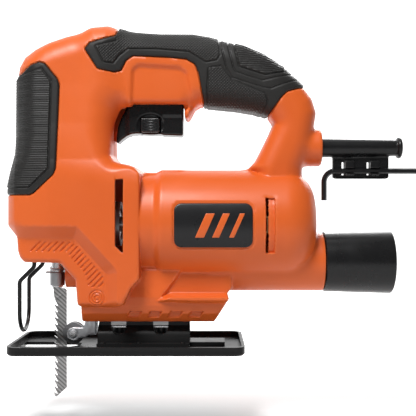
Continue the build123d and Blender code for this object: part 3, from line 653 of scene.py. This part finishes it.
def combined(tree, operation, outputs):
    """One output worked out from several, two at a time."""
    total = outputs[0]
    for output in outputs[1:]:
        both = add_node(tree, "Math", operation=operation)
        tree.links.new(total, both.inputs[0])
        tree.links.new(output, both.inputs[1])
        total = both.outputs["Value"]
    return total


def ribbed_rubber(name, turns, pitch):
    """Rubber with ribs square to each listed direction; two directions give a diamond pattern."""
    made = moulded(name, **RUBBER_LOOK)
    tree = made.node_tree
    waves = []
    for turn in turns:
        wave = add_node(tree, "TexWave", {"Scale": 2 * math.pi / (20 * pitch)})
        in_object_space(tree, wave, {"Rotation": (0, math.radians(turn), 0)})
        waves.append(wave.outputs["Fac"])
    height = combined(tree, "MULTIPLY", waves)
    add_bump(tree, tree.nodes["Principled BSDF"], height, 0.9, 0.0004)
    return made


def seat_metal():
    """Blackened seat, bright where the bevel screws pull on it."""
    made, tree, shader = material("seat_metal", (0.02, 0.02, 0.02), 0.4, 0.7)
    split = add_node(tree, "SeparateXYZ")
    tree.links.new(add_node(tree, "TexCoord").outputs["Object"], split.inputs["Vector"])
    spots = []
    for place in (-0.0063, 0.02):
        near = add_node(tree, "Math", {1: place, 2: 0.0047}, operation="COMPARE")
        tree.links.new(split.outputs["X"], near.inputs[0])
        spots.append(near.outputs["Value"])
    mix = add_node(tree, "Mix", data_type="RGBA")
    mix.inputs["A"].default_value = (0.015, 0.015, 0.016, 1)
    mix.inputs["B"].default_value = (0.5, 0.5, 0.5, 1)
    tree.links.new(combined(tree, "MAXIMUM", spots), mix.inputs["Factor"])
    tree.links.new(mix.outputs["Result"], shader.inputs["Base Color"])
    add_bump(tree, shader, add_noise(tree, 900.0).outputs["Fac"], 0.4, 0.00004)
    return made


def add_panel_material(piece, extra, mask):
    """Second material on the faces whose middle lies inside the mask."""
    piece.data.materials.append(extra)
    count = len(piece.data.polygons)
    centers = np.empty(count * 3, np.float32)
    piece.data.polygons.foreach_get("center", centers)
    centers = centers.reshape(count, 3) / MM
    chosen = mask(centers[:, 0], centers[:, 2])
    slots = np.empty(count, np.int32)
    piece.data.polygons.foreach_get("material_index", slots)
    slots[chosen] = len(piece.data.materials) - 1
    piece.data.polygons.foreach_set("material_index", slots)


# each edge colour given below is a painted highlight laid along convex edges
RUBBER_LOOK = {
    "low": (0.012, 0.0115, 0.011), "high": (0.018, 0.017, 0.016), "rough": (0.46, 0.6), "grain": 1100.0,
    "depth": 0.00008, "wear": (0.05, 0.046, 0.042), "Specular_IOR_Level": 0.35,
}
# the last colour given to the casing, black plastic and shoe paint is a painted edge highlight
ORANGE = moulded("orange_casing", (0.68, 0.112, 0.016), (0.73, 0.128, 0.021), (0.34, 0.44),
                 grain=1500.0, depth=0.00006, wear=(0.82, 0.21, 0.07), Specular_IOR_Level=0.42)
RUBBER = moulded("black_rubber", **RUBBER_LOOK)
BLACK = moulded("black_plastic", (0.006, 0.006, 0.0065), (0.01, 0.01, 0.0105), (0.22, 0.34),
                grain=1300.0, depth=0.00004, wear=(0.03, 0.03, 0.03), Specular_IOR_Level=0.36)
PLAQUE = moulded("plaque_gloss", (0.012, 0.012, 0.013), (0.016, 0.016, 0.017), (0.25, 0.35),
                 grain=900.0, depth=0.00002, Specular_IOR_Level=0.3)
SHOE_PAINT = moulded("shoe_paint", (0.003, 0.003, 0.0032), (0.006, 0.006, 0.0062), (0.24, 0.36),
                     grain=700.0, depth=0.00005, wear=(0.03, 0.03, 0.03), Specular_IOR_Level=0.12)
CARBON = moulded("carbon", (0.02, 0.02, 0.02), (0.04, 0.04, 0.04), (0.5, 0.65), grain=900.0, depth=0.00005)
CASE = moulded("capacitor_case", (0.55, 0.46, 0.16), (0.62, 0.53, 0.2), (0.3, 0.4),
               grain=700.0, depth=0.00004)
OXIDE = metal("black_oxide", (0.008, 0.008, 0.0085), (0.016, 0.016, 0.017), (0.26, 0.38), metallic=0.4)
ROLLER_STEEL = metal("roller_steel", (0.14, 0.14, 0.145), (0.24, 0.24, 0.25), (0.25, 0.4))
STEEL = metal("machined_steel", (0.52, 0.52, 0.53), (0.68, 0.68, 0.69), (0.2, 0.34), (1, 1, 8))
CAST = metal("cast_metal", (0.5, 0.51, 0.53), (0.64, 0.65, 0.67), (0.35, 0.55), grain=500.0, depth=0.0001)
COLLAR = metal("collar_steel", (0.32, 0.32, 0.33), (0.42, 0.42, 0.43), (0.3, 0.45))
ZINC = metal("zinc_plate", (0.3, 0.3, 0.29), (0.4, 0.39, 0.37), (0.3, 0.42))
SPRING = metal("spring_steel", (0.45, 0.45, 0.46), (0.6, 0.6, 0.62), (0.22, 0.32))
CORE = metal("core_steel", (0.2, 0.2, 0.21), (0.32, 0.32, 0.34), (0.4, 0.55), (40, 1, 1))
COPPER = metal("copper_wire", (0.6, 0.26, 0.12), (0.78, 0.4, 0.2), (0.25, 0.4), (1, 12, 12))
BRONZE = metal("bronze", (0.55, 0.38, 0.18), (0.68, 0.5, 0.26), (0.35, 0.5))
BLADE = ground_blade()
KNURL = ribbed_rubber("rubber_knurl", (45, -45), 0.0013)
RIBS = ribbed_rubber("rubber_ribs", (90,), 0.0014)

BY_SLOT = {
    "orange_casing": ORANGE, "black_rubber": RUBBER, "black_plastic": BLACK, "plaque": PLAQUE,
    "zinc_screw": ZINC, "cast_metal": CAST, "machined_steel": STEEL, "blade_steel": BLADE,
    "black_oxide": OXIDE, "collar_steel": COLLAR, "shoe_paint": SHOE_PAINT, "spring_steel": SPRING,
    "core_steel": CORE, "copper_wire": COPPER, "bronze": BRONZE, "carbon": CARBON, "capacitor_case": CASE,
}


def paint_cad_nodes():
    """Every CAD node gets its slot's procedural material, with a few of its own."""
    own = {"bevel_pad": seat_metal(), "bevel_screws": OXIDE, "bracket_rivets": SHOE_PAINT,
           "guide_roller": ROLLER_STEEL}
    for part in frame["record"]["subparts"]:
        target = frame["nodes"][part["node"]]
        target.data.materials.clear()
        target.data.materials.append(own.get(part["node"], BY_SLOT[part["material_slot"]]))


# ---------------------------------------------------------------- pieces
def build_casing():
    """Both casing halves, with a closer grid where the fine detail is."""
    along_x = spaced((-78, -61, 1.1), (-61, -4, 0.55), (-4, 49, 0.8), (49, 124, 1.2))
    along_z = spaced((15, 30, 0.55), (30, 69, 0.65), (69, 204, 1.2))
    for name, side in (("left_shell", -1), ("right_shell", 1)):
        along_y = spaced((min(0, side * 36) - 1.2, max(0, side * 36) + 1.2, 0.95))
        points, faces = surface_net(casing_half(side), (along_x, along_y, along_z))
        place_piece(make_object(name + "_moulding", points, faces, ORANGE), "housing", name)


def build_grips():
    """Rubber pads on nose and handle."""
    for label, side in (("left", -1), ("right", 1)):
        near, far = min(0, side * 32) - 1, max(0, side * 32) + 1
        field = pad_field(side, NOSE_PAD, [(NOSE_PANEL, 0.5)], nose_texture)
        piece = field_object("nose_pad_" + label, field, (-80, near, 94), (-38, far, 181), 0.5, RUBBER)
        add_panel_material(piece, RIBS, lambda x, z: NOSE_PANEL(x, z) < -0.9)
        place_piece(piece, "housing", "nose_grip_" + label)
        near, far = min(0, side * 22) - 1, max(0, side * 22) + 1
        panels = [(PANEL_TOP, 0.5), (PANEL_REAR, 0.5), (PANEL_UNDER, 0.2)]
        field = pad_field(side, HANDLE_PAD, panels, handle_texture)
        piece = field_object("handle_pad_" + label, field, (-30, near, 139), (114, far, 204), 0.55, RUBBER)
        add_panel_material(piece, KNURL, lambda x, z: np.minimum(PANEL_TOP(x, z), PANEL_UNDER(x, z)) < -0.9)
        add_panel_material(piece, RIBS, lambda x, z: PANEL_REAR(x, z) < -0.9)
        place_piece(piece, "housing", "handle_grip_" + label)


def build_badges():
    """Plain plaques with three slanted bars."""
    for label, side in (("left", -1), ("right", 1)):
        def plaque(x, y, z):
            """Curved plate on the barrel."""
            radial = off_axis(y, z, (0, MOTOR_Z))
            body = smooth_max(radial - BARREL_R - 0.15, BARREL_R - 1.2 - radial, 0.3)
            flat = rounded_box(x, z, BADGE, BADGE_HALF, BADGE_CORNER)
            return np.maximum(smooth_max(body, flat, 0.5), -side * y)

        def bars(x, y, z):
            """Three slanted bars, each narrower than the one before."""
            radial = off_axis(y, z, (0, MOTOR_Z))
            body = np.maximum(radial - BARREL_R - 0.5, BARREL_R - 0.7 - radial)
            slant = x - 0.45 * (z - BADGE[1]) + 6 * side - 41.7
            flat = np.float32(1e9)
            for index in range(3):
                flat = np.minimum(flat, np.abs(slant - 9.5 * index) - 2.7 + 0.6 * index)
            flat = np.maximum(flat, np.abs(z - BADGE[1]) - 7.2)
            return np.maximum(smooth_max(body, flat, 0.3), -side * y)

        near, far = sorted((side * 29, side * 35.5))
        low, high = (28, near, 63), (78, far, 93)
        piece = field_object("plaque_" + label, plaque, low, high, 0.45, PLAQUE)
        place_piece(piece, "housing", "badge_" + label)
        mark = field_object("mark_" + label, bars, low, high, 0.4, ORANGE)
        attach(mark, "housing")


TRIGGER_OUTLINE = Outline([
    (-1.9, 158), (-1.9, 150.5), (-4.4, 146.2), (-7.2, 139.0), (-8.3, 130.0), (-7.0, 128.9), (-4.6, 131.2),
    (-1.6, 133.4), (1.6, 134.6), (5.3, 135.0), (13, 134.4), (20.4, 134.5), (21.6, 134.0), (33.9, 133.6),
    (34.0, 158),
], 1.4)


def build_trigger():
    """Finger trigger and the lock button in its side."""
    def trigger(x, y, z):
        """Trigger, narrower at its tail and over the button, with the button's pocket."""
        ay = np.abs(y)
        half = 8.7 - 1.9 * ramp(-x, -2, 3.5) - 0.7 * ramp(x, 20.4, 22) * ramp(-z, -147, -144.5)
        body = slab(TRIGGER_OUTLINE(x, z), ay, half, 1.5)
        oval = np.sqrt(((x - BUTTON[0]) / 1.25) ** 2 + (z - BUTTON[1] - 0.4) ** 2)
        body = body + 1.0 * ramp(-oval, -7.6, -5.6) * ramp(ay, 5, 8)
        pocket = box_field(x, y, z, (7.2, 19.8), (-14, -2.0), (135.2, 144.8), 0.4)
        body = smooth_max(body, -pocket, 0.5)
        spring_hole = np.maximum(off_axis(x, z, BUTTON) - 3.1, np.abs(y - 1.5) - 4.5)
        return smooth_max(body, -spring_hole, 0.1)

    def button(x, y, z):
        """Dished button with ridges for the finger."""
        dish = 0.03 * (x - BUTTON[0]) ** 2
        wave = 0.5 + 0.5 * np.cos((z - BUTTON[1]) * 2 * math.pi / 1.7)
        ridges = 0.35 * wave * ramp(-np.abs(x - BUTTON[0]), -4.6, -3.8)
        body = box_field(x, y, z, (7.6, 19.4), (-11.0, -5.6), (135.6, 144.4), 0.9)
        return smooth_max(body, -(y + 10.7 + dish + ridges), 0.4)

    piece = field_object("trigger_moulding", trigger, (-10, -11, 127), (35, 11, 160), 0.45, BLACK)
    place_piece(piece, "trigger_unit", "trigger")
    piece = field_object("lock_button_moulding", button, (6, -13, 134), (21, -4, 146), 0.25, BLACK)
    place_piece(piece, "lock_button_unit", "lock_button")


def coil(name, start, direction, radius, wire, length, turns):
    """Coil spring standing on its start point, in millimetres."""
    direction = Vector(direction)
    across = direction.orthogonal().normalized()
    beside = direction.cross(across)
    points, faces = [], []
    steps, sides = int(turns * 28), 10
    for step in range(steps + 1):
        share = step / steps
        angle = 2 * math.pi * turns * share
        outward = across * math.cos(angle) + beside * math.sin(angle)
        middle = Vector(start) + direction * (wire + (length - 2 * wire) * share) + outward * radius
        for side in range(sides):
            turn = 2 * math.pi * side / sides
            points.append(middle + (outward * math.cos(turn) + direction * math.sin(turn)) * wire)
    for step in range(steps):
        low = step * sides
        for side in range(sides):
            following = (side + 1) % sides
            faces.append((low + side, low + following, low + sides + following, low + sides + side))
    faces.append(tuple(range(sides))[::-1])
    faces.append(tuple(steps * sides + side for side in range(sides)))
    return make_object(name, [tuple(point) for point in points], faces, SPRING)


def build_springs():
    """Return springs of trigger and lock button, each riding on its moving part."""
    spring = coil("trigger_spring_coil", (15, 0, 158.0), (0, 0, 1), 3.4, 0.5, 16.95, 7)
    place_piece(spring, "trigger_unit", "trigger_spring")
    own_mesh(spring)
    spring = coil("lock_spring_coil", (13.5, -5.5, 140), (0, 1, 0), 2.3, 0.35, 7.9, 5)
    place_piece(spring, "lock_button_unit", "lock_spring")
    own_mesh(spring)


def cord_sleeve(x, radial):
    """Tapered sleeve with its end bead and the groove before it."""
    radius = np.interp(x, [110, 121, 168, 172], [6.1, 6.0, 5.2, 5.2])
    sleeve = round_bar(radial - radius + 6, 111 - x, x - 171.5, 6, 0.6)
    bead = np.sqrt((radial - 5.2) ** 2 + (x - 170.6) ** 2) - 1.5
    groove = np.sqrt((radial - 6.1) ** 2 + (x - 167.6) ** 2) - 0.8
    return smooth_max(smooth_min(sleeve, bead, 0.6), -groove, 0.4)


def key_plate(x, y, z):
    """Thin plate under the sleeve, with round lower corners and a raised rim."""
    plate = box_field(x, y, z, (128.5, 163.9), (-1.25, 1.25), (105.8, 123.4))
    from_middle = np.abs(x - PLATE_X)
    corner = np.sqrt(np.maximum(from_middle - 15.4, 0) ** 2 + np.maximum(110 - z, 0) ** 2) - 2.6
    plate = np.maximum(plate, np.where(z < 110, corner, -1.0))
    rim = np.abs(np.maximum(from_middle - 17.0, 106.6 - z)) - 0.7
    rim = np.maximum(np.maximum(rim, np.abs(y) - 1.7), np.maximum(plate - 0.5, z - 121))
    return np.minimum(plate, rim)


def build_cord_guard():
    """Cord sleeve with the plate that stores the key."""
    def guard(x, y, z):
        """Sleeve, plate, two clips with a window each, the key's channel and the cord's bore."""
        radial = off_axis(y, z, (0, CORD_Z))
        body = smooth_min(cord_sleeve(x, radial), key_plate(x, y, z), 1.2)
        for left in (135.9, 151.8):
            clip = box_field(x, y, z, (left, left + 5.7), (-5.4, -1.0), (109.0, 118.2), 0.7)
            window = box_field(x, y, z, (left - 1.7, left - 0.3), (-3, 3), (109.2, 117.4))
            body = smooth_max(smooth_min(body, clip, 0.4), -window, 0.2)
        channel = np.maximum(np.abs(y - KEY[0]), np.abs(z - KEY[1])) - 1.8
        return smooth_max(smooth_max(body, -channel, 0.3), 3.6 - radial, 0.4)

    piece = field_object("cord_sleeve", guard, (109, -8, 103), (174, 8, 135), 0.4, BLACK)
    place_piece(piece, "housing", "cord_guard")


def build_adapter():
    """Smooth conical hose adapter."""
    profile = [
        (104, 15.0), (122.3, 15.0), (122.3, 18.4), (122.8, 18.9), (163.4, 20.15), (164.5, 20.0),
        (165, 19.4), (165, 18.2), (164.2, 17.5), (127, 17.0), (126.4, 13.6), (104, 13.6),
    ]
    piece = turned("hose_adapter", profile, (0, DUCT_Z), BLACK, 128)
    place_piece(piece, "adapter_unit", "dust_adapter")


def build_blade():
    """T-shank blade with hooked teeth that point up and are set to both sides."""
    front, back, half, top_tooth, pitch, teeth = -48.0, -40.2, 0.62, 27.4, 4, 15
    shape = [
        (back, -25.5), (back, 36.2), (back - 1.0, 37.3), (-43.4, 37.6), (-43.4, 48.6), (-48.8, 48.6),
        (-48.8, 37.4), (front - 0.4, 36.0), (front - 0.5, 34.6), (front, 31.5),
    ]
    sets = [0.0] * len(shape)
    for index in range(teeth):
        tip = top_tooth - pitch * index
        shape += [(front + 0.35, tip + 2.9), (front + 1.4, tip + 0.8), (front + 2.3, tip - 1.0),
                  (front + 1.8, tip - 1.3), (front, tip)]
        lean = 0.24 if index % 2 else -0.24
        sets += [-lean * 0.6, 0.0, 0.0, 0.0, lean]
    shape += [(front + 0.2, -30.6), (-46.6, -31.2)]
    sets += [0.0, 0.0]
    outline = list(zip(shape, sets))[::-1]
    count = len(outline)
    points = [(x, face + lean, z) for face in (-half, half) for (x, z), lean in outline]
    faces = [list(range(count)), list(range(2 * count - 1, count - 1, -1))]
    for index in range(count):
        following = (index + 1) % count
        faces.append([index, count + index, count + following, following])
    piece = make_object("saw_blade", points, faces, BLADE)
    mesh = bmesh.new()
    mesh.from_mesh(piece.data)
    bmesh.ops.recalc_face_normals(mesh, faces=mesh.faces)
    bmesh.ops.triangulate(mesh, faces=[face for face in mesh.faces if len(face.verts) > 4])
    mesh.to_mesh(piece.data)
    mesh.free()
    piece.data.polygons.foreach_set("use_smooth", [False] * len(piece.data.polygons))
    place_piece(piece, "plunger_unit", "blade")


def build_clamp():
    """Twist collar with fine grip flutes and its release tang."""
    def collar(x, y, z):
        """Fluted ring and tang, with the plunger's bore."""
        radial = off_axis(x, y, (PLUNGER_X, 0))
        flutes = 0.12 * (0.5 + 0.5 * np.cos(np.arctan2(y, x - PLUNGER_X) * 36))
        ring = smooth_max(radial - 4.65 + flutes, np.maximum(39.3 - z, z - 48.0), 0.6)
        tang = box_field(x, y, z, (-53.3, -47.5), (-1.8, 1.8), (47.1, 48.2), 0.3)
        body = smooth_min(ring, tang, 0.3)
        return np.maximum(body, 3.85 - radial)

    piece = field_object("clamp_ring", collar, (-55, -6, 38), (-40, 6, 49.5), 0.3, COLLAR)
    place_piece(piece, "clamp_collar_unit", "clamp_collar")


FORK_OUTLINE = Outline([
    (-35.4, 5.2), (-33, 5.3), (-31.8, 6.8), (-27.2, 6.9), (-25.6, 8.4), (-20.9, 8.4), (-20.9, 26.4),
    (-27.4, 26.4), (-27.6, 17.4), (-28.9, 13.2), (-35.4, 13.4), (-38.3, 12.2), (-39.5, 9.3), (-38.3, 6.4),
], 1.0)


def build_fork():
    """Cast fork that holds the guide roller."""
    def fork(x, y, z):
        """Fork with a ring engraved round its pin, the roller's gap and the pin's bore."""
        ay = np.abs(y)
        body = slab(FORK_OUTLINE(x, z), ay, 5.5, 0.7)
        radial = off_axis(x, z, ROLLER)
        body = body + 0.5 * ramp(-np.abs(radial - 2.9), -0.45, -0.1) * ramp(ay, 4.4, 5)
        gap = np.maximum(ay - 3.5, x + 27.9)
        body = smooth_max(body, -gap, 0.4)
        return np.maximum(body, 1.52 - radial)

    piece = field_object("roller_fork_casting", fork, (-41, -6.5, 4), (-19.5, 6.5, 28), 0.3, CAST)
    place_piece(piece, "housing", "roller_fork")


# ---------------------------------------------------------------- studio
def build_sweep():
    """Pale floor that curves up behind the tool and glows a little towards the back."""
    floor, bend, front, wall_top = -0.046, 0.5, -2.0, 3.0
    rows = [(front, floor), (1.0, floor)]
    for step in range(1, 9):
        angle = math.radians(90 * step / 8)
        rows.append((1.0 + bend * math.sin(angle), floor + bend * (1 - math.cos(angle))))
    rows.append((1.0 + bend, wall_top))
    points = [(x / MM, y / MM, z / MM) for y, z in rows for x in (-3.0, 3.0)]
    faces = [(2 * i, 2 * i + 1, 2 * i + 3, 2 * i + 2) for i in range(len(rows) - 1)]
    paint, tree, shader = material("studio_white", (0.72, 0.72, 0.72), 0.8)
    shader.inputs["Emission Color"].default_value = (1, 1, 1, 1)
    split = add_node(tree, "SeparateXYZ")
    glow = add_node(tree, "MapRange", {"From Min": -0.02, "From Max": 0.15, "To Min": 0.0, "To Max": 0.85})
    tree.links.new(add_node(tree, "TexCoord").outputs["Object"], split.inputs["Vector"])
    tree.links.new(split.outputs["Y"], glow.inputs["Value"])
    tree.links.new(glow.outputs["Result"], shader.inputs["Emission Strength"])
    add_bump(tree, shader, add_noise(tree, 40.0).outputs["Fac"], 0.05, 0.0002)
    make_object("studio_sweep", points, faces, paint)


def build_lights():
    """Dim white world and three soft lights, all turned to the tool's middle."""
    world = bpy.data.worlds.new("studio")
    bpy.context.scene.world = world
    world.use_nodes = True
    world.node_tree.nodes["Background"].inputs["Color"].default_value = (1, 1, 1, 1)
    world.node_tree.nodes["Background"].inputs["Strength"].default_value = 0.14
    middle = Vector((0.03, 0, 0.09))
    for name, place, size, power in (
        ("key_light", (-0.25, -0.65, 1.1), 0.4, 17.0),
        ("top_light", (0.1, 0.15, 0.95), 0.6, 1.0),
        ("rear_light", (0.45, 0.95, 0.7), 0.5, 6.0),
    ):
        light = bpy.data.lights.new(name, "AREA")
        light.energy = power
        light.size = size
        lamp = bpy.data.objects.new(name, light)
        lamp.location = place
        lamp.rotation_euler = (middle - Vector(place)).to_track_quat("-Z", "Y").to_euler()
        bpy.context.scene.collection.objects.link(lamp)


def build_camera():
    """Camera square to the left side."""
    camera = bpy.data.cameras.new("camera")
    camera.lens = 68.1
    camera.sensor_width = 36
    camera.clip_start = 0.01
    eye = bpy.data.objects.new("camera", camera)
    eye.location = (0.0495, -0.5, 0.0884)
    eye.rotation_euler = (math.radians(90), 0, 0)
    bpy.context.scene.collection.objects.link(eye)
    bpy.context.scene.camera = eye
    bpy.context.scene.view_settings.view_transform = "Standard"


build_sweep()
build_lights()
build_camera()
paint_cad_nodes()
build_casing()
build_grips()
build_badges()
build_trigger()
build_springs()
build_cord_guard()
build_adapter()
build_blade()
build_clamp()
build_fork()
